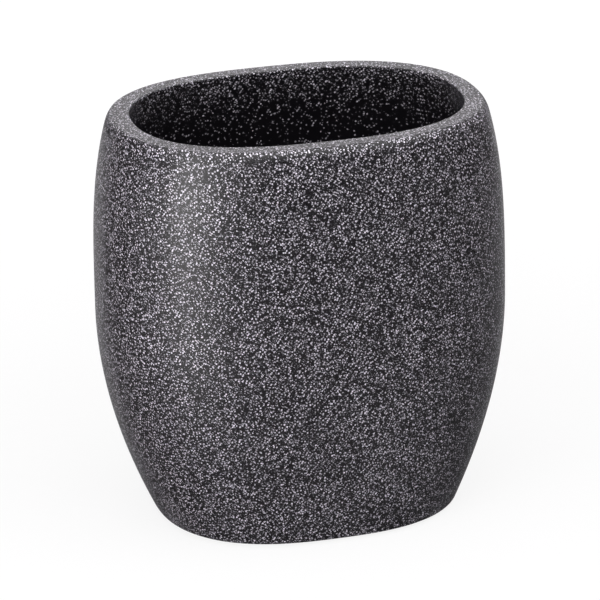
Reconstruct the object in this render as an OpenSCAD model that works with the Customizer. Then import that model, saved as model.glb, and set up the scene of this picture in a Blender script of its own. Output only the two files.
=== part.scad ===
// Bathroom tumbler: an oval barrel cast in stone-flecked resin, with a foam pad let into its underside.
// Millimetres, +Z up. The origin is the centre of the pad's underside, on the surface the tumbler stands on.
// X runs along the oval's long axis and Y along its short one.

/* [Barrel] */
// Height from the standing surface to the rim
height = 100; // [80:1:130]
// Height of the widest level above the standing surface
belly_z = 51.2; // [36:0.2:64]
// Length of the oval at the widest level
belly_w = 99.2; // [92:0.2:120]
// Depth of the oval at the widest level
belly_d = 70.8; // [68:0.2:90]
// Length of the oval at the rim
rim_w = 90.1; // [84:0.1:99]
// Depth of the oval at the rim
rim_d = 66.1; // [60:0.1:70]
// Length of the oval at the foot
foot_w = 73.5; // [64:0.5:92]
// Depth of the oval at the foot
foot_d = 61.2; // [54:0.2:68]
// How fast the side draws in below the widest level, 2 is a parabola
lower_power = 1.9; // [1.5:0.05:3]
// How fast the side draws in above the widest level
upper_power = 3.3; // [1.5:0.05:4]
// Squareness of the oval's ends, 2 is an ellipse
end_power = 2.64; // [2:0.02:4]
// Squareness of the oval's long sides, 2 is an ellipse
side_power = 2.28; // [2:0.02:4]

/* [Casting] */
// Wall thickness, the same from rim to floor
wall = 5.2; // [3.6:0.1:8]
// Thickness of the floor, from the foot's underside to the inside
floor_t = 8; // [5:0.5:14]
// Fillet where the inner wall meets the floor
floor_r = 8; // [2:0.5:12]
// How far in the rounding of the rim's outer edge reaches
rim_r = 1; // [0.4:0.1:1.8]
// How far down the rounding of the rim's outer edge reaches
rim_drop = 3; // [0.6:0.2:6]
// Rounding of the rim's inner edge
lip_r = 0.4; // [0.2:0.1:1.4]
// Rounding of the foot's edge
foot_r = 0.9; // [0.3:0.1:2]

/* [Pad] */
// Width of the resin left round the recess under the foot
pad_border = 4; // [2.6:0.2:9]
// Thickness of the foam pad
pad_t = 1.6; // [1:0.1:2.6]
// Thickness of the adhesive film above the pad
film_t = 0.2; // [0.1:0.05:0.3]
// How far the pad stands below the resin
pad_proud = 0.5; // [0.3:0.1:0.9]
// Gap between the pad's edge and the wall of its recess
pad_gap = 0.3; // [0.1:0.05:0.6]

/* [Smoothness] */
// Points round each oval
points_round = 96; // [48:4:112]
// Steps up the outside
outer_steps = 20; // [10:1:24]
// Steps down the inside
inner_steps = 14; // [8:1:16]
// Steps round each small edge
edge_steps = 4; // [2:1:5]
// Steps round the rim's outer edge
rim_steps = 7; // [4:1:10]
// Steps round the floor's fillet
fillet_steps = 6; // [3:1:8]

/* [Hidden] */

// The resin's underside, the ceiling of its recess and the floor inside
foot_z = pad_proud;
recess_z = pad_t + film_t;
floor_z = foot_z + floor_t;

// Share of the way from the widest level towards the foot, or towards the rim, at height z
function lower_share(z) = max(0, belly_z - z) / (belly_z - foot_z);
function upper_share(z) = max(0, z - belly_z) / (height - belly_z);

// A size that is `belly` at the widest level, `foot` at the underside and `rim` at the top
function drawn_in(belly, foot, rim, z) =
    belly - (belly - foot) * pow(lower_share(z), lower_power)
          - (belly - rim) * pow(upper_share(z), upper_power);
function barrel_w(z) = drawn_in(belly_w, foot_w, rim_w, z);
function barrel_d(z) = drawn_in(belly_d, foot_d, rim_d, z);

// One quarter-symmetric coordinate of a rounded oval: `reach` at the axis, with its own squareness
function bulged(reach, share, power) = reach * sign(share) * pow(abs(share), 2 / power);

// Outline of an oval w long and d deep, drawn in by `inset` all round
function oval(w, d, inset = 0) = [
    for (i = [0:points_round - 1]) let (turn = 360 * i / points_round)
        [bulged(w / 2 - inset, cos(turn), end_power), bulged(d / 2 - inset, sin(turn), side_power)]
];

// The barrel's outline at height z, drawn in by `inset`, as points in space
function ring(z, inset) = [for (p = oval(barrel_w(z), barrel_d(z), inset)) [p[0], p[1], z]];

// The recess's outline at height z
function recess_ring(z) = [for (p = oval(foot_w, foot_d, pad_border)) [p[0], p[1], z]];

// The body's skin as rings, from the recess's ceiling, round the foot, up the outside,
// over the rim, down the inside and across the floor
function outside_rings() = [
    for (i = [0:edge_steps]) let (turn = 90 * i / edge_steps)
        ring(foot_z + foot_r * (1 - cos(turn)), foot_r * (1 - sin(turn))),
    for (i = [1:outer_steps - 1]) let (share = i / outer_steps)
        ring((foot_z + foot_r) * (1 - share) + (height - rim_drop) * share, 0),
    for (i = [0:rim_steps]) let (turn = 90 * i / rim_steps)
        ring(height - rim_drop * (1 - sin(turn)), rim_r * (1 - cos(turn)))
];
function inside_rings() = [
    for (i = [0:edge_steps]) let (turn = 90 * i / edge_steps)
        ring(height - lip_r * (1 - cos(turn)), wall - lip_r * (1 - sin(turn))),
    for (i = [1:inner_steps - 1]) let (share = i / inner_steps)
        ring((height - lip_r) * (1 - share) + (floor_z + floor_r) * share, wall),
    for (i = [0:fillet_steps]) let (turn = 90 * i / fillet_steps)
        ring(floor_z + floor_r * (1 - sin(turn)), wall + floor_r * (1 - cos(turn)))
];

// A closed solid from rings of points_round points each, the first and last of them a flat cap
module ringed_solid(rings) {
    n = points_round;
    last = len(rings) - 1;
    polyhedron(
        points = [for (r = rings) each r],
        faces = [
            [for (j = [0:n - 1]) j],
            for (i = [0:last - 1], j = [0:n - 1]) let (k = (j + 1) % n)
                each [[i * n + j, (i + 1) * n + j, (i + 1) * n + k], [i * n + j, (i + 1) * n + k, i * n + k]],
            [for (j = [n - 1:-1:0]) last * n + j]
        ]
    );
}

// Cast resin cup, one piece
module tumbler_body() {
    color("#39373c")
        ringed_solid(concat([recess_ring(recess_z), recess_ring(foot_z)], outside_rings(), inside_rings()));
}

// Flat sheet die-cut to fit the recess
module recess_sheet(thickness) {
    linear_extrude(height = thickness)
        polygon(oval(foot_w, foot_d, pad_border + pad_gap));
}

// Adhesive film between the pad and the recess's ceiling
module pad_adhesive() {
    color("#cfc9b8")
        translate([0, 0, pad_t])
            recess_sheet(film_t);
}

// Foam pad the tumbler stands on
module base_pad() {
    color("#1c1c1d")
        recess_sheet(pad_t);
}

tumbler_body();
pad_adhesive();
base_pad();
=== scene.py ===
"""Looks of an oval bathroom tumbler: a flecked resin barrel, the foam pad under it and a plain studio.

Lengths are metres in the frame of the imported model, +Z up, with the origin under the middle of the pad.
X runs along the oval's long axis and Y along its short one, and the mouth opens upwards.
"""

import logging
import math
from dataclasses import dataclass, field
from enum import Enum
from typing import Any

import bpy
import numpy as np
from mathutils import Matrix, Vector


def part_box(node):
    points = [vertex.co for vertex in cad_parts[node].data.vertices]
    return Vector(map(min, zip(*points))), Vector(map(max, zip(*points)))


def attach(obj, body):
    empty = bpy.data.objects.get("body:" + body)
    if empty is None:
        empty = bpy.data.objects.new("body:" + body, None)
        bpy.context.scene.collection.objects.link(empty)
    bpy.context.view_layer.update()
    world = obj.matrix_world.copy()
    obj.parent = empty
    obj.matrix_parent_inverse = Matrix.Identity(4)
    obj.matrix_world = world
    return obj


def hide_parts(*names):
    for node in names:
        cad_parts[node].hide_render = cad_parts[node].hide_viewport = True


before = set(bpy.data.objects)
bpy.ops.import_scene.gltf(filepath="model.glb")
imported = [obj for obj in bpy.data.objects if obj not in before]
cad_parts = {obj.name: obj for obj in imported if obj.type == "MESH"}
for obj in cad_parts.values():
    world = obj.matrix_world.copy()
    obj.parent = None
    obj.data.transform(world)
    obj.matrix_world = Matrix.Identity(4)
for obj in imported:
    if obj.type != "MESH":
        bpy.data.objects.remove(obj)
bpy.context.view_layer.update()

MM = 0.001
BODY = "root"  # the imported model's only body
IMAGE_SIDE = 600  # pixels, the picture's width and height
PAINTED_SHADE = "skin"  # attribute of painted shade: 0 on the outside and rim, growing with depth inside the cup, 1 in the recess
WHITE = (1.0, 1.0, 1.0, 1.0)
BLACK = (0.0, 0.0, 0.0, 1.0)
NOISE_MEAN = 0.5
log = logging.getLogger("tumbler")


class Shape(Enum):
    """Shapes of chip, by how distance from a chip's centre is measured."""

    ROUND = "EUCLIDEAN"
    ANGULAR = "MANHATTAN"


class Noise(Enum):
    """What a noise gives at each place."""

    NUMBER = "Fac"
    VECTOR = "Color"


@dataclass(frozen=True)
class Value:
    """One output of a node, which takes part in arithmetic by adding Math nodes to its graph."""

    graph: "Graph"
    socket: bpy.types.NodeSocket

    def _math(self, operation: str, first: Any, second: Any) -> "Value":
        """Adds a Math node.

        Args:
            operation: Name of the Math node's operation.
            first: Its first number or Value.
            second: Its second number or Value.

        Returns:
            The node's output.
        """
        return self.graph.node("ShaderNodeMath", {"operation": operation}, {0: first, 1: second})

    def __add__(self, other: Any) -> "Value":
        """Sum of this and a number or Value."""
        return self._math("ADD", self, other)

    def __radd__(self, other: Any) -> "Value":
        """Sum of a number and this."""
        return self._math("ADD", other, self)

    def __sub__(self, other: Any) -> "Value":
        """This less a number or Value."""
        return self._math("SUBTRACT", self, other)

    def __rsub__(self, other: Any) -> "Value":
        """A number less this."""
        return self._math("SUBTRACT", other, self)

    def __mul__(self, other: Any) -> "Value":
        """Product of this and a number or Value."""
        return self._math("MULTIPLY", self, other)

    def __rmul__(self, other: Any) -> "Value":
        """Product of a number and this."""
        return self._math("MULTIPLY", other, self)

    def __truediv__(self, other: Any) -> "Value":
        """This divided by a number or Value."""
        return self._math("DIVIDE", self, other)

    def __pow__(self, other: Any) -> "Value":
        """This raised to a power."""
        return self._math("POWER", self, other)

    def above(self, level: Any) -> "Value":
        """1 where this is greater than level, else 0."""
        return self._math("GREATER_THAN", self, level)

    def clipped(self) -> "Value":
        """This held between 0 and 1."""
        return self._math("MINIMUM", self._math("MAXIMUM", self, 0.0), 1.0)

    def beside(self, output: str) -> "Value":
        """Another output of the same node."""
        return Value(self.graph, self.socket.node.outputs[output])


class Graph:
    """The node tree of a material or of the world, with short ways to add nodes."""

    MIX_FACTOR, MIX_A, MIX_B, MIX_RESULT = 0, 6, 7, 2  # the colour sockets of a Mix node

    def __init__(self, owner: Any) -> None:
        """Empties a node tree.

        Args:
            owner: The material or world that has it.
        """
        owner.use_nodes = True
        self.tree = owner.node_tree
        self.tree.nodes.clear()

    def node(self, kind: str, settings: dict[str, Any] | None = None,
             inputs: dict[Any, Any] | None = None, output: Any = 0) -> Value:
        """Adds a node.

        Args:
            kind: Blender's name of the node's type.
            settings: The node's own settings, which are set first.
            inputs: A number, colour or Value for each socket, by name or number.
            output: Name or number of the output to return.

        Returns:
            The wanted output.
        """
        made = self.tree.nodes.new(kind)
        for name, setting in (settings or {}).items():
            setattr(made, name, setting)
        for name, given in (inputs or {}).items():
            if isinstance(given, Value):
                self.tree.links.new(given.socket, made.inputs[name])
            else:
                made.inputs[name].default_value = given
        return Value(self, made.outputs[output] if len(made.outputs) else None)

    def mix(self, factor: Any, first: Any, second: Any) -> Value:
        """Colour mixed from two colours.

        Args:
            factor: Share of the second colour.
            first: A colour or Value.
            second: A colour or Value.

        Returns:
            The mixed colour.
        """
        inputs = {self.MIX_FACTOR: factor, self.MIX_A: first, self.MIX_B: second}
        return self.node("ShaderNodeMix", {"data_type": "RGBA"}, inputs, self.MIX_RESULT)

    def vector(self, operation: str, first: Any, second: Any) -> Value:
        """Vector Math of two vectors or Values."""
        return self.node("ShaderNodeVectorMath", {"operation": operation}, {0: first, 1: second})

    def length(self, vector: Value) -> Value:
        """Length of a vector."""
        return self.node("ShaderNodeVectorMath", {"operation": "LENGTH"}, {0: vector}, "Value")

    def parts(self, vector: Value) -> tuple[Value, Value, Value]:
        """The three numbers of a vector or colour."""
        split = self.node("ShaderNodeSeparateXYZ", {}, {0: vector})
        return split, split.beside("Y"), split.beside("Z")

    def place(self) -> Value:
        """Coordinates of the object, in metres."""
        return self.node("ShaderNodeTexCoord", output="Object")

    def noise(self, place: Value, size: float, detail: float = 2.0, gives: Noise = Noise.NUMBER) -> Value:
        """Noise whose lumps are about size across.

        Args:
            place: The coordinates.
            size: Size of a lump in metres.
            detail: Number of finer octaves.
            gives: Whether it is one number or a vector of three.

        Returns:
            Noise from 0 to 1.
        """
        inputs = {"Vector": place, "Scale": 1.0 / size, "Detail": detail}
        return self.node("ShaderNodeTexNoise", {}, inputs, gives.value)

    def cells(self, place: Value, spacing: float, shape: Shape = Shape.ROUND, scatter: float = 1.0) -> Value:
        """Distance to the nearest of many scattered points, in shares of their spacing.

        Args:
            place: The coordinates.
            spacing: How far apart the points are, in metres.
            shape: How the distance is measured.
            scatter: 1 is a fully random scatter, 0 an even one.

        Returns:
            The distance. The same node's Color holds three random numbers for each point.
        """
        inputs = {"Vector": place, "Scale": 1.0 / spacing, "Randomness": scatter}
        return self.node("ShaderNodeTexVoronoi", {"distance": shape.value}, inputs, "Distance")

    def bump(self, height: Value, depth: float, strength: float = 1.0) -> Value:
        """Normal tilted by a height map.

        Args:
            height: The height, from 0 to about 1.
            depth: What a height of 1 stands for, in metres.
            strength: Share of the tilt that is used.

        Returns:
            The normal.
        """
        return self.node("ShaderNodeBump", {}, {"Strength": strength, "Distance": depth, "Height": height})

    def grey(self, level: Value) -> Value:
        """Grey colour of a level that varies over the surface."""
        return self.node("ShaderNodeCombineXYZ", {}, {0: level, 1: level, 2: level})

    def seen_by_camera(self) -> Value:
        """1 for the camera's own rays, 0 for all others."""
        return self.node("ShaderNodeLightPath", output="Is Camera Ray")

    def finish(self, shader: Value, kind: str = "ShaderNodeOutputMaterial") -> None:
        """Links a shader to the tree's output."""
        self.node(kind, {}, {"Surface": shader})


@dataclass(frozen=True)
class Chips:
    """One grade of stone chips scattered through the resin. Radii and edge are shares of the spacing."""

    spacing: float
    least_radius: float
    most_radius: float
    present_share: float
    dull: float
    bright: float
    rarity: float  # the higher, the fewer of the chips are bright
    turn: tuple  # turns the scatter's cells, so that no two grades line up
    shade_hidden_share: float  # share of the chips that full painted shade hides
    shape: Shape = Shape.ROUND
    edge: float = 0.04
    scatter: float = 0.8

    def layer(self, graph: Graph, place: Value, crowding: Value, skin: Value) -> tuple[Value, Value]:
        """Chips as balls round scattered points, cut open by the surface.

        Each cell of a Voronoi pattern holds one point with three random numbers: how large its chip is,
        whether it is there at all, and how pale it is.

        Args:
            graph: The material's graph.
            place: Coordinates, already roughened so that chips are ragged.
            crowding: A number near 1 that thins or thickens the scatter from place to place.
            skin: Painted shade, 1 where it is full and 0 where there is none.

        Returns:
            The chips' mask and their paleness.
        """
        turned = graph.node("ShaderNodeVectorRotate", {"rotation_type": "EULER_XYZ"},
                            {"Vector": place, "Rotation": self.turn})
        distance = graph.cells(turned, self.spacing, self.shape, self.scatter)
        size, luck, paleness = graph.parts(distance.beside("Color"))
        radius = self.least_radius + (self.most_radius - self.least_radius) * size
        inside = ((radius - distance) / self.edge).clipped()
        # painted shade: fewer chips show where the shade is deeper
        there = (crowding * (1.0 - self.shade_hidden_share * skin) * self.present_share).above(luck)
        return inside * there, self.dull + (self.bright - self.dull) * paleness ** self.rarity


@dataclass(frozen=True)
class FleckedResin:
    """Near-black cast resin filled with pale stone chips of several grades, satin on the outside."""

    matrix: tuple = (0.0018, 0.0015, 0.0022, 1.0)
    matrix_pale: tuple = (0.0050, 0.0043, 0.0059, 1.0)
    cloud: float = 1.4 * MM  # size of the paler clouds in the resin between the chips
    chip: tuple = (0.92, 0.88, 0.98, 1.0)
    grades: tuple = (
        Chips(spacing=0.34 * MM, least_radius=0.28, most_radius=0.46, present_share=0.95, dull=0.0,
              bright=0.55, rarity=2.4, turn=(0.5, 0.8, 0.3), shade_hidden_share=0.96),
        Chips(spacing=0.56 * MM, least_radius=0.40, most_radius=0.62, present_share=0.92, dull=0.30,
              bright=1.0, rarity=1.0, turn=(1.1, 0.4, 0.9), shade_hidden_share=0.74, shape=Shape.ANGULAR),
    )
    grade_shift: tuple = (0.013, 0.029, 0.017)  # how far each grade's scatter is moved from the last one's
    clump: float = 7.0 * MM
    clumping: float = 0.05  # share by which the scatter thins and thickens from place to place
    ragged: float = 0.10 * MM  # how far a chip's edge wanders
    ragged_size: float = 0.34 * MM  # how far apart its turns are
    shade_darkening: float = 0.45  # how much the painted shade darkens the chips that show
    smear: float = 4.5 * MM  # size of the patches that the polish left smoother or rougher
    grain: float = 0.16 * MM
    roughness: float = 0.33
    smear_roughness: float = 0.10
    grain_roughness: float = 0.08
    chip_smoothness: float = 0.04  # how much smoother a chip is than the resin round it
    relief: float = 0.006 * MM
    chip_relief: float = 0.6
    grain_relief: float = 0.4
    ior: float = 1.5

    def flecks(self, graph: Graph, place: Value, skin: Value) -> tuple[Value, Value]:
        """Lays every grade of chips over the resin, the finest first.

        Args:
            graph: The material's graph.
            place: The coordinates.
            skin: Painted shade, 1 where it is full and 0 where there is none.

        Returns:
            The colour, and a mask that is 1 on chips of any grade.
        """
        lumps = graph.noise(place, self.clump, detail=3.0)
        crowding = 1.0 + 2 * self.clumping * (lumps - NOISE_MEAN)
        turns = graph.noise(place, self.ragged_size, detail=1.0, gives=Noise.VECTOR)
        wobble = graph.vector("SUBTRACT", turns, (NOISE_MEAN,) * 3)
        ragged = graph.vector("ADD", place, graph.vector("MULTIPLY", wobble, (2 * self.ragged,) * 3))
        colour = graph.mix(graph.noise(place, self.cloud, detail=3.0), self.matrix, self.matrix_pale)
        chips = None
        for number, grade in enumerate(self.grades):
            shifted = graph.vector("ADD", ragged, tuple(step * number for step in self.grade_shift))
            mask, paleness = grade.layer(graph, shifted, crowding, skin)
            # painted shade: the chips are darker deeper inside the cup
            shade = graph.mix(paleness * (1.0 - self.shade_darkening * skin), BLACK, self.chip)
            colour = graph.mix(mask, colour, shade)
            chips = mask if chips is None else chips + mask * (1.0 - chips)
        return colour, chips

    def material(self) -> bpy.types.Material:
        """Builds the resin.

        Returns:
            A material that reads the object's own coordinates and its painted-shade attribute.
        """
        made = bpy.data.materials.new("flecked_resin")
        graph = Graph(made)
        place = graph.place()
        # painted shade, read from the mesh's attribute
        skin = graph.node("ShaderNodeAttribute", {"attribute_name": PAINTED_SHADE}, output="Fac")
        colour, chips = self.flecks(graph, place, skin)
        grain = graph.noise(place, self.grain)
        polish = self.smear_roughness * (graph.noise(place, self.smear) - NOISE_MEAN)
        dullness = self.grain_roughness * (grain - NOISE_MEAN)
        graph.finish(graph.node("ShaderNodeBsdfPrincipled", {}, {
            "Base Color": colour,
            "Roughness": self.roughness + polish + dullness - self.chip_smoothness * chips,
            "IOR": self.ior,
            "Normal": graph.bump(self.chip_relief * chips + self.grain_relief * grain, self.relief),
        }))
        return made


@dataclass(frozen=True)
class PadFoam:
    """Black closed-cell foam, skinned underneath, with a fine pore."""

    skin: tuple = (0.012, 0.012, 0.013, 1.0)
    worn: tuple = (0.030, 0.030, 0.031, 1.0)
    wear: float = 5.0 * MM  # size of the worn patches
    wear_share: float = 0.55
    dust: float = 0.9 * MM  # size of the patches where dust lies between the cells
    dust_share: float = 0.6
    cell: float = 0.22 * MM
    relief: float = 0.02 * MM
    roughness: float = 0.78
    wear_roughness: float = 0.16
    dust_roughness: float = 0.10
    ior: float = 1.45

    def material(self) -> bpy.types.Material:
        """Builds the foam.

        Returns:
            A material that reads the object's own coordinates.
        """
        made = bpy.data.materials.new("pad_foam")
        graph = Graph(made)
        place = graph.place()
        cells = graph.cells(place, self.cell)
        wear = graph.noise(place, self.wear, detail=3.0)
        dust = graph.noise(place, self.dust)
        paleness = self.wear_share * wear + self.dust_share * dust * cells
        roughening = self.wear_roughness * (wear - NOISE_MEAN) + self.dust_roughness * (dust - NOISE_MEAN)
        graph.finish(graph.node("ShaderNodeBsdfPrincipled", {}, {
            "Base Color": graph.mix(paleness.clipped(), self.skin, self.worn),
            "Roughness": self.roughness + roughening,
            "IOR": self.ior,
            "Normal": graph.bump(cells, self.relief),
        }))
        return made


@dataclass(frozen=True)
class AdhesiveFilm:
    """Tacky film, straw-coloured, with the trapped air and streaks of a hand-pressed sheet."""

    clear: tuple = (0.52, 0.47, 0.36, 1.0)
    cloudy: tuple = (0.70, 0.67, 0.58, 1.0)
    streak: float = 1.5 * MM
    streak_squeeze: tuple = (1.0, 0.2, 1.0)  # draws the streaks out along the short axis
    streak_share: float = 0.7
    bubble_spacing: float = 2.6 * MM
    bubble_radius: float = 0.3  # share of the spacing, as is the next one
    bubble_edge: float = 0.1
    bubble_share: float = 0.5
    relief: float = 0.03 * MM
    relief_strength: float = 0.6
    roughness: float = 0.24
    streak_roughness: float = 0.3

    def material(self) -> bpy.types.Material:
        """Builds the film.

        Returns:
            A material that reads the object's own coordinates.
        """
        made = bpy.data.materials.new("adhesive_film")
        graph = Graph(made)
        place = graph.place()
        squeezed = graph.vector("MULTIPLY", place, self.streak_squeeze)
        streaks = graph.noise(squeezed, self.streak, detail=3.0)
        bubbles = graph.cells(place, self.bubble_spacing)
        air = ((self.bubble_radius - bubbles) / self.bubble_edge).clipped()
        cloudiness = (self.streak_share * streaks + self.bubble_share * air).clipped()
        graph.finish(graph.node("ShaderNodeBsdfPrincipled", {}, {
            "Base Color": graph.mix(cloudiness, self.clear, self.cloudy),
            "Roughness": self.roughness + self.streak_roughness * streaks,
            "Normal": graph.bump(air + streaks, self.relief, self.relief_strength),
        }))
        return made


@dataclass(frozen=True)
class Oval:
    """The rounded oval |x/a|^end_power + |y/b|^side_power = 1, which every level of the tumbler shares."""

    end_power: float = 2.64
    side_power: float = 2.28

    def outline(self, around: int) -> tuple[np.ndarray, np.ndarray]:
        """The outline for half sizes of 1.

        At turn t, x is cos t to the power 2/end_power and y is sin t to the power 2/side_power,
        each with the sign of its cosine or sine.

        Args:
            around: Number of points.

        Returns:
            The x and the y of each point.
        """
        turn = np.arange(around) * (2 * np.pi / around)
        c, s = np.cos(turn), np.sin(turn)
        x = np.sign(c) * np.abs(c) ** (2 / self.end_power)
        y = np.sign(s) * np.abs(s) ** (2 / self.side_power)
        return x, y


@dataclass(frozen=True)
class Barrel:
    """The cup's outside, as the half length and half depth of its oval at each height."""

    low: float
    high: float
    belly_z: float
    belly: tuple[float, float]
    rim: tuple[float, float] = (45.05 * MM, 33.05 * MM)
    foot: tuple[float, float] = (36.75 * MM, 30.6 * MM)
    lower_power: float = 1.9
    upper_power: float = 3.3

    def half_sizes(self, z: np.ndarray) -> np.ndarray:
        """Half sizes at heights z: the belly's, less a power of the way to the foot or to the rim.

        Args:
            z: Heights.

        Returns:
            A row of half length and half depth for each height.
        """
        lower = np.maximum(0, self.belly_z - z) / (self.belly_z - self.low)
        upper = np.maximum(0, z - self.belly_z) / (self.high - self.belly_z)
        belly, rim, foot = (np.array(size) for size in (self.belly, self.rim, self.foot))
        drawn_low = np.outer(lower ** self.lower_power, belly - foot)
        drawn_high = np.outer(upper ** self.upper_power, belly - rim)
        return belly - drawn_low - drawn_high


def shell_mesh(name: str, rings: np.ndarray) -> bpy.types.Object:
    """Makes a closed mesh from a grid of rings, with a pole in the middle of the first and the last ring.

    Rings run round the axis counter-clockwise from above, and follow each other so that the outside
    lies to the right of the way: out under the base, up the side, in over the top.

    Args:
        name: The object's name.
        rings: Points, as rings by points round by 3.

    Returns:
        The new object, smooth-shaded, at the origin.
    """
    levels, around = rings.shape[:2]
    points = np.vstack([rings.reshape(-1, 3), rings[0].mean(0), rings[-1].mean(0)])
    first_pole, last_pole = levels * around, levels * around + 1
    here = np.arange(around)
    after = (here + 1) % around
    rows = np.arange(levels - 1)[:, None] * around
    corners = [rows + here, rows + after, rows + around + after, rows + around + here]
    quads = np.stack(corners, -1).reshape(-1, 4)
    top = (levels - 1) * around
    start = np.stack([np.full(around, first_pole), after, here], -1)
    end = np.stack([np.full(around, last_pole), top + here, top + after], -1)
    mesh = bpy.data.meshes.new(name)
    mesh.from_pydata(points, [], [*quads.tolist(), *start.tolist(), *end.tolist()])
    mesh.validate()
    mesh.polygons.foreach_set("use_smooth", np.ones(len(mesh.polygons), bool))
    mesh.update()
    made = bpy.data.objects.new(name, mesh)
    bpy.context.scene.collection.objects.link(made)
    return made


def quarter(steps: int) -> tuple[np.ndarray, np.ndarray]:
    """Two shares that round an edge: one less the sine and one less the cosine of a quarter turn.

    Args:
        steps: Number of steps.

    Returns:
        The first share, which shrinks from 1 to 0, and the second, which grows from 0 to 1.
    """
    turn = np.linspace(0, np.pi / 2, steps + 1)
    return 1 - np.sin(turn), 1 - np.cos(turn)


def between(first: float, last: float, steps: int) -> np.ndarray:
    """The even steps from first to last, without the two ends."""
    return np.linspace(first, last, steps + 1)[1:-1]


def leg(z: Any, inset: Any) -> np.ndarray:
    """Part of a section: a row of height and inset for each ring, where either may be one number."""
    return np.stack(np.broadcast_arrays(z, inset), -1)


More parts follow.
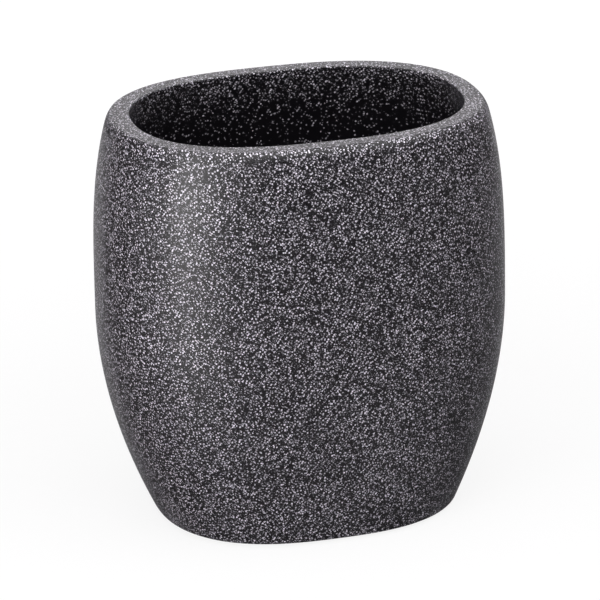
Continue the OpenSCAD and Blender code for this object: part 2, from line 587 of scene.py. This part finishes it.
@dataclass
class TumblerBody:
    """The cast resin cup: its sizes, its surface and its finish."""

    node: str = "tumbler_body"
    slot: str = "flecked_resin"
    finish: FleckedResin = field(default_factory=FleckedResin)
    oval: Oval = field(default_factory=Oval)
    belly_z: float = 51.2 * MM
    wall: float = 5.2 * MM
    floor_t: float = 8.0 * MM
    floor_r: float = 8.0 * MM
    rim_r: float = 1.0 * MM
    rim_drop: float = 3.0 * MM
    lip_r: float = 0.4 * MM
    foot_r: float = 0.9 * MM
    pad_border: float = 4.0 * MM
    recess_depth: float = 1.3 * MM
    recess_r: float = 0.25 * MM
    sway: float = 0.02 * MM  # how far the cast wall wanders in from its true shape
    waves: tuple = ((3, 9, 0), (5, -14, 1.3), (2, 23, 0))  # each wave's count round, twist and start
    polish: float = 15.0 * MM  # how far down inside the lip the painted shade takes to grow full
    shade_growth_power: float = 0.6  # power with which the painted shade grows on the way down
    around: int = 288
    edge_steps: int = 6
    rim_steps: int = 10
    fillet_steps: int = 16
    side_steps: int = 91
    inside_steps: int = 71
    foot_rings: int = 6
    rim_rings: int = 8
    ceiling_rings: tuple = (24, 12, 4, 1)  # insets on the recess's ceiling, in radii of its corner
    floor_rings: tuple = (0.6, 4.0, 9.0, 14.0)  # insets on the floor inside, in millimetres from its fillet
    recess_margin: float = 1.5  # where a flat starts beside a rounding, in radii of the rounding
    edge_margin: float = 1.1
    lip_margin: float = 1.2

    def barrel(self) -> Barrel:
        """The outside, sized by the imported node's own box."""
        low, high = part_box(self.node)
        return Barrel(low.z, high.z, self.belly_z, (high.x, high.y))

    def recess_section(self, low: float) -> np.ndarray:
        """The recess: out over its ceiling, down its wall and round its edge.

        Args:
            low: Height of the foot.

        Returns:
            Height and inset of each ring.
        """
        ceiling = low + self.recess_depth
        shrinks, grows = quarter(self.edge_steps)
        return np.concatenate([
            leg(ceiling, self.pad_border + np.array(self.ceiling_rings) * self.recess_r),
            leg(ceiling - self.recess_r * grows, self.pad_border + self.recess_r * shrinks),
            leg(low + self.recess_r * grows[::-1], self.pad_border - self.recess_r * shrinks[::-1]),
        ])

    def outside_section(self, low: float, high: float) -> np.ndarray:
        """The outside: out under the foot, round its edge, up the side and in over the rim.

        Args:
            low: Height of the foot.
            high: Height of the rim.

        Returns:
            Height and inset of each ring.
        """
        shrinks, grows = quarter(self.edge_steps)
        rim_shrinks, rim_grows = quarter(self.rim_steps)
        foot_start = self.pad_border - self.recess_margin * self.recess_r
        foot_end = self.foot_r * self.edge_margin
        rim_start = self.rim_r * self.edge_margin
        rim_end = self.wall - self.lip_r * self.lip_margin
        return np.concatenate([
            leg(low, np.linspace(foot_start, foot_end, self.foot_rings)),
            leg(low + self.foot_r * grows, self.foot_r * shrinks),
            leg(between(low + self.foot_r, high - self.rim_drop, self.side_steps), 0.0),
            leg(high - self.rim_drop * rim_shrinks, self.rim_r * rim_grows),
            leg(high, np.linspace(rim_start, rim_end, self.rim_rings)),
        ])

    def inside_section(self, high: float, floor: float) -> np.ndarray:
        """The inside: round the lip, down the wall, round the fillet and in over the floor.

        Args:
            high: Height of the rim.
            floor: Height of the floor.

        Returns:
            Height and inset of each ring.
        """
        shrinks, grows = quarter(self.edge_steps)
        fillet_shrinks, fillet_grows = quarter(self.fillet_steps)
        return np.concatenate([
            leg(high - self.lip_r * grows, self.wall - self.lip_r * shrinks),
            leg(between(high - self.lip_r, floor + self.floor_r, self.inside_steps), self.wall),
            leg(floor + self.floor_r * fillet_shrinks, self.wall + self.floor_r * fillet_grows),
            leg(floor, self.wall + self.floor_r + np.array(self.floor_rings) * MM),
        ])

    def path(self, barrel: Barrel) -> np.ndarray:
        """The section that is carried round the oval, from the recess's middle to the floor's middle.

        Args:
            barrel: The outside.

        Returns:
            For each ring its height, how far it is drawn in from the outside, and the height at which
            that outside is taken, which is the foot's all through the recess.
        """
        recess = self.recess_section(barrel.low)
        outside = self.outside_section(barrel.low, barrel.high)
        inside = self.inside_section(barrel.high, barrel.low + self.floor_t)
        rest = np.concatenate([outside, inside])
        at_foot = np.column_stack([recess, np.full(len(recess), barrel.low)])
        return np.concatenate([at_foot, np.column_stack([rest, rest[:, 0]])])

    def surface(self) -> np.ndarray:
        """The cup's skin as a grid: ring i and turn j give half size i, less its inset, times outline j.

        The wall wanders in by a sum of slow waves, so it never leaves its box. Each is the sine of its count
        times the turn, plus its twist times the share s of the height, plus its start. They die out towards
        the foot and the rim with 4 s (1 - s).

        Returns:
            Points as rings by points round by 3.
        """
        barrel = self.barrel()
        z, inset, size_z = self.path(barrel).T
        half = barrel.half_sizes(size_z) - inset[:, None]
        x, y = self.oval.outline(self.around)
        turn = np.arange(self.around) * (2 * np.pi / self.around)
        share = ((z - barrel.low) / (barrel.high - barrel.low))[:, None]
        waves = sum(np.sin(count * turn + twist * share + start) for count, twist, start in self.waves)
        fade = np.clip(4 * share * (1 - share), 0, 1)
        most = len(self.waves)
        wander = 1 - self.sway * fade * (most + waves) / (2 * most) / barrel.belly[1]
        return np.stack([half[:, :1] * x * wander, half[:, 1:] * y * wander, z[:, None] + 0 * turn], -1)

    def skin(self) -> np.ndarray:
        """Painted shade on each ring: 0 on the outside and rim, up to 1 inside.

        Inside, it grows with the depth below the rim, over the reach set by polish. It is 1 in the recess.

        Returns:
            One number for each ring.
        """
        barrel = self.barrel()
        z, inset, _ = self.path(barrel).T
        # painted shade: darker the deeper inside the cup, and full in the recess
        depth_share = np.clip((barrel.high - z) / self.polish, 0, 1)
        inside = depth_share ** self.shade_growth_power * (inset > self.wall - self.lip_r)
        recess = (inset >= self.pad_border - self.recess_r) & (z < barrel.low + self.floor_t / 2)
        return np.maximum(inside, recess)

    def build(self) -> bpy.types.Object:
        """Makes the cup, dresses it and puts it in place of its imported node.

        Returns:
            The cup.
        """
        made = shell_mesh("resin_tumbler", self.surface())
        # painted shade for each point, full at the two poles
        skin = np.repeat(self.skin(), self.around)
        poles = np.ones(len(made.data.vertices) - len(skin))
        values = made.data.attributes.new(PAINTED_SHADE, "FLOAT", "POINT")
        values.data.foreach_set("value", np.concatenate([skin, poles]))
        made.data.materials.append(self.finish.material())
        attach(made, BODY)
        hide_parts(self.node)
        return made


@dataclass
class BasePad:
    """The foam pad in the recess: a flat sheet with softly die-cut edges."""

    node: str = "base_pad"
    slot: str = "pad_foam"
    finish: PadFoam = field(default_factory=PadFoam)
    oval: Oval = field(default_factory=Oval)
    edge_r: float = 0.35 * MM
    waist: float = 0.08 * MM  # how far the cut edge is pulled in halfway up
    around: int = 192
    edge_steps: int = 5
    side_steps: int = 7
    flat_rings: tuple = (20.0, 10.0, 4.0, 1.5, 0.1)  # insets on the flats, in millimetres from their edge

    def surface(self) -> np.ndarray:
        """The pad's skin as a grid: out under it, round its edge and in over its top, round the oval.

        Between the flats the edge is pulled in by waist times the sine of a half turn over the height.

        Returns:
            Points as rings by points round by 3.
        """
        low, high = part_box(self.node)
        shrinks, grows = quarter(self.edge_steps)
        flat = np.array(self.flat_rings) * MM + self.edge_r
        z, inset = np.concatenate([
            leg(low.z, flat),
            leg(low.z + self.edge_r * grows, self.edge_r * shrinks),
            leg(between(low.z + self.edge_r, high.z - self.edge_r, self.side_steps), 0.0),
            leg(high.z - self.edge_r * shrinks, self.edge_r * grows),
            leg(high.z, flat[::-1]),
        ]).T
        share = (z - low.z) / (high.z - low.z)
        half = np.array([high.x, high.y]) - (inset + self.waist * np.sin(np.pi * share))[:, None]
        x, y = self.oval.outline(self.around)
        return np.stack([half[:, :1] * x, half[:, 1:] * y, z[:, None] + 0 * x], -1)

    def build(self) -> bpy.types.Object:
        """Makes the pad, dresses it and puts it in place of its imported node.

        Returns:
            The pad.
        """
        made = shell_mesh("foam_pad", self.surface())
        made.data.materials.append(self.finish.material())
        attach(made, BODY)
        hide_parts(self.node)
        return made


@dataclass
class PadAdhesive:
    """The sealed film between the pad and the cup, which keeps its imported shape."""

    node: str = "pad_adhesive"
    finish: AdhesiveFilm = field(default_factory=AdhesiveFilm)

    def build(self) -> bpy.types.Object:
        """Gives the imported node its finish.

        Returns:
            The node's object.
        """
        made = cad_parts[self.node]
        made.data.materials.clear()
        made.data.materials.append(self.finish.material())
        return made


@dataclass(frozen=True)
class Softbox:
    """A rectangular soft light that faces the tumbler. Azimuth 0 is in front, on -Y, and 90 is on +X."""

    name: str
    azimuth: float
    elevation: float
    distance: float
    width: float
    height: float
    radiance: float
    tint: tuple = (1.0, 0.985, 1.0)

    def watts(self) -> float:
        """Power that gives the radiance: pi times the area times the radiance."""
        return math.pi * self.width * self.height * self.radiance

    def build(self, target: Vector) -> bpy.types.Object:
        """Makes the light, aimed at the target.

        Args:
            target: What it faces.

        Returns:
            The light.
        """
        data = bpy.data.lights.new(self.name, "AREA")
        data.shape = "RECTANGLE"
        data.size, data.size_y = self.width, self.height
        data.energy, data.color = self.watts(), self.tint
        made = bpy.data.objects.new(self.name, data)
        a, e = math.radians(self.azimuth), math.radians(self.elevation)
        back = Vector((math.sin(a) * math.cos(e), -math.cos(a) * math.cos(e), math.sin(e)))
        made.location = target + back * self.distance
        made.rotation_mode = "QUATERNION"
        made.rotation_quaternion = (-back).to_track_quat("-Z", "Y")
        made.visible_camera = False
        bpy.context.scene.collection.objects.link(made)
        return made


@dataclass(frozen=True)
class LongLens:
    """The camera at the photograph's angle. Angles are radians, and the yaw is towards -X."""

    distance: float = 1.0194
    elevation: float = 0.3604
    yaw: float = 0.2734
    roll: float = -0.0184
    focal_px: float = 4225.0
    centre_px: tuple = (300.62, 301.64)  # where the lens's axis meets the picture
    sensor: float = 36.0  # millimetres
    reach: float = 50.0  # how far it sees

    def build(self, target: Vector) -> bpy.types.Object:
        """Makes the camera, its axis a little off the picture's middle and rolled slightly.

        Args:
            target: The point on its axis.

        Returns:
            The scene's camera.
        """
        data = bpy.data.cameras.new("camera")
        data.sensor_width = self.sensor
        data.lens = self.focal_px / IMAGE_SIDE * self.sensor
        half = IMAGE_SIDE / 2
        data.shift_x = (half - self.centre_px[0]) / IMAGE_SIDE
        data.shift_y = (self.centre_px[1] - half) / IMAGE_SIDE
        data.clip_end = self.reach
        made = bpy.data.objects.new("camera", data)
        level = math.cos(self.elevation)
        back = Vector((-level * math.sin(self.yaw), -level * math.cos(self.yaw), math.sin(self.elevation)))
        turned = (-back).to_track_quat("-Z", "Y").to_matrix() @ Matrix.Rotation(self.roll, 3, "Z")
        made.matrix_world = Matrix.Translation(target + back * self.distance) @ turned.to_4x4()
        bpy.context.scene.collection.objects.link(made)
        bpy.context.scene.camera = made
        return made


@dataclass(frozen=True)
class Table:
    """The table: white to the camera but for the tumbler's shadow, and dark satin to all other rays."""

    side: float = 12.0
    grey: float = 0.08
    shown_grey: float = 0.12
    lift: float = 0.86  # how bright it glows to the camera beside the tumbler, under the light it catches
    lift_start: float = 0.10  # distance from which the glow grows to white
    lift_length: float = 0.45
    fibre: float = 3.0 * MM
    fibre_least: float = 0.97
    fibre_range: float = 0.06
    sheen: float = 0.60
    sheen_start: float = 0.25  # how much the table faces a ray where its sheen starts to fade
    sheen_end: float = 0.60  # and where it's gone
    roughness: float = 0.12

    def shown(self, graph: Graph, place: Value, fibre: Value) -> Value:
        """The table as the camera sees it.

        Args:
            graph: The material's graph.
            place: The coordinates.
            fibre: A number near 1 that varies over the table.

        Returns:
            A matt grey that takes the shadow, lifted to white by a glow.
        """
        away = ((graph.length(place) - self.lift_start) / self.lift_length).clipped()
        glow = graph.grey(self.lift + (1.0 - self.lift) * away)
        matt = graph.node("ShaderNodeBsdfDiffuse", {}, {"Color": graph.grey(self.shown_grey * fibre)})
        lifted = graph.node("ShaderNodeEmission", {}, {"Color": glow})
        return graph.node("ShaderNodeAddShader", {}, {0: matt, 1: lifted})

    def satin(self, graph: Graph, fibre: Value) -> Value:
        """The table as the tumbler sees it.

        Args:
            graph: The material's graph.
            fibre: A number near 1 that varies over the table.

        Returns:
            A dark grey with a gloss that fades where it is looked down on.
        """
        matt = graph.node("ShaderNodeBsdfDiffuse", {}, {"Color": graph.grey(self.grey * fibre)})
        gloss = graph.node("ShaderNodeBsdfGlossy", {}, {"Color": WHITE, "Roughness": self.roughness})
        facing = 1.0 - graph.node("ShaderNodeLayerWeight", {}, {}, "Facing")
        fading = ((facing - self.sheen_start) / (self.sheen_end - self.sheen_start)).clipped()
        return graph.node("ShaderNodeMixShader", {}, {0: self.sheen * (1.0 - fading), 1: matt, 2: gloss})

    def material(self) -> bpy.types.Material:
        """Builds the table's finish.

        Returns:
            A material that the camera sees in one way and all other rays in another.
        """
        made = bpy.data.materials.new("studio_table")
        graph = Graph(made)
        place = graph.place()
        fibre = self.fibre_least + self.fibre_range * graph.noise(place, self.fibre, detail=3.0)
        shown, satin = self.shown(graph, place, fibre), self.satin(graph, fibre)
        graph.finish(graph.node("ShaderNodeMixShader", {}, {0: graph.seen_by_camera(), 1: satin, 2: shown}))
        return made

    def build(self) -> bpy.types.Object:
        """Makes the table, a level square under the pad.

        Returns:
            The table.
        """
        half = self.side / 2
        corners = np.array([[-half, -half, 0], [half, -half, 0], [half, half, 0], [-half, half, 0]])
        mesh = bpy.data.meshes.new("studio_table")
        mesh.from_pydata(corners, [], [[0, 1, 2, 3]])
        made = bpy.data.objects.new("studio_table", mesh)
        made.data.materials.append(self.material())
        bpy.context.scene.collection.objects.link(made)
        return made


@dataclass(frozen=True)
class Studio:
    """A table, soft lights and dim surroundings that the camera sees as white, and the camera."""

    target_z: float = 50.25 * MM
    surroundings: float = 0.02
    table: Table = Table()
    lens: LongLens = LongLens()
    softboxes: tuple = (  # name, azimuth, elevation, distance, width, height, radiance
        Softbox("key_softbox", -52.0, 10.0, 0.80, 0.34, 0.50, 3.4),
        Softbox("front_softbox", -28.0, 14.0, 1.0, 0.50, 0.50, 0.8),
        Softbox("left_strip", -48.0, 0.0, 0.40, 0.30, 0.09, 1.2),
        Softbox("low_strip", -62.0, 0.0, 0.30, 0.40, 0.08, 0.9),
        Softbox("top_softbox", -12.0, 68.0, 0.46, 1.10, 0.75, 2.15),
        Softbox("right_softbox", 70.0, 52.0, 0.80, 0.50, 0.50, 0.5),
        Softbox("right_edge_softbox", 105.0, 22.0, 0.80, 0.40, 0.50, 0.35),
        Softbox("back_softbox", 166.0, 18.0, 1.0, 1.5, 0.50, 0.9),
        Softbox("back_top_softbox", 180.0, 56.0, 0.85, 0.80, 0.50, 0.3),
    )

    def surround(self) -> None:
        """Makes the world, which the camera sees as white and which lights the tumbler dimly."""
        made = bpy.data.worlds.new("studio")
        bpy.context.scene.world = made
        graph = Graph(made)
        strength = self.surroundings + (1.0 - self.surroundings) * graph.seen_by_camera()
        glow = graph.node("ShaderNodeBackground", {}, {"Color": WHITE, "Strength": strength})
        graph.finish(glow, "ShaderNodeOutputWorld")

    def build(self) -> list[bpy.types.Object]:
        """Makes the surroundings, the lights, the table and the camera.

        Returns:
            Every object made.
        """
        bpy.context.scene.view_settings.view_transform = "Standard"
        self.surround()
        target = Vector((0.0, 0.0, self.target_z))
        lights = [softbox.build(target) for softbox in self.softboxes]
        return [self.table.build(), *lights, self.lens.build(target)]


def main() -> None:
    """Builds the tumbler's pieces and its studio, in order."""
    logging.basicConfig(level=logging.INFO, format="%(name)s: %(message)s")
    for part in (TumblerBody(), PadAdhesive(), BasePad()):
        made = part.build()
        log.info("%s: %d faces for %s", made.name, len(made.data.polygons), part.node)
    for made in Studio().build():
        log.info("studio: %s", made.name)


if __name__ == "__main__":
    main()
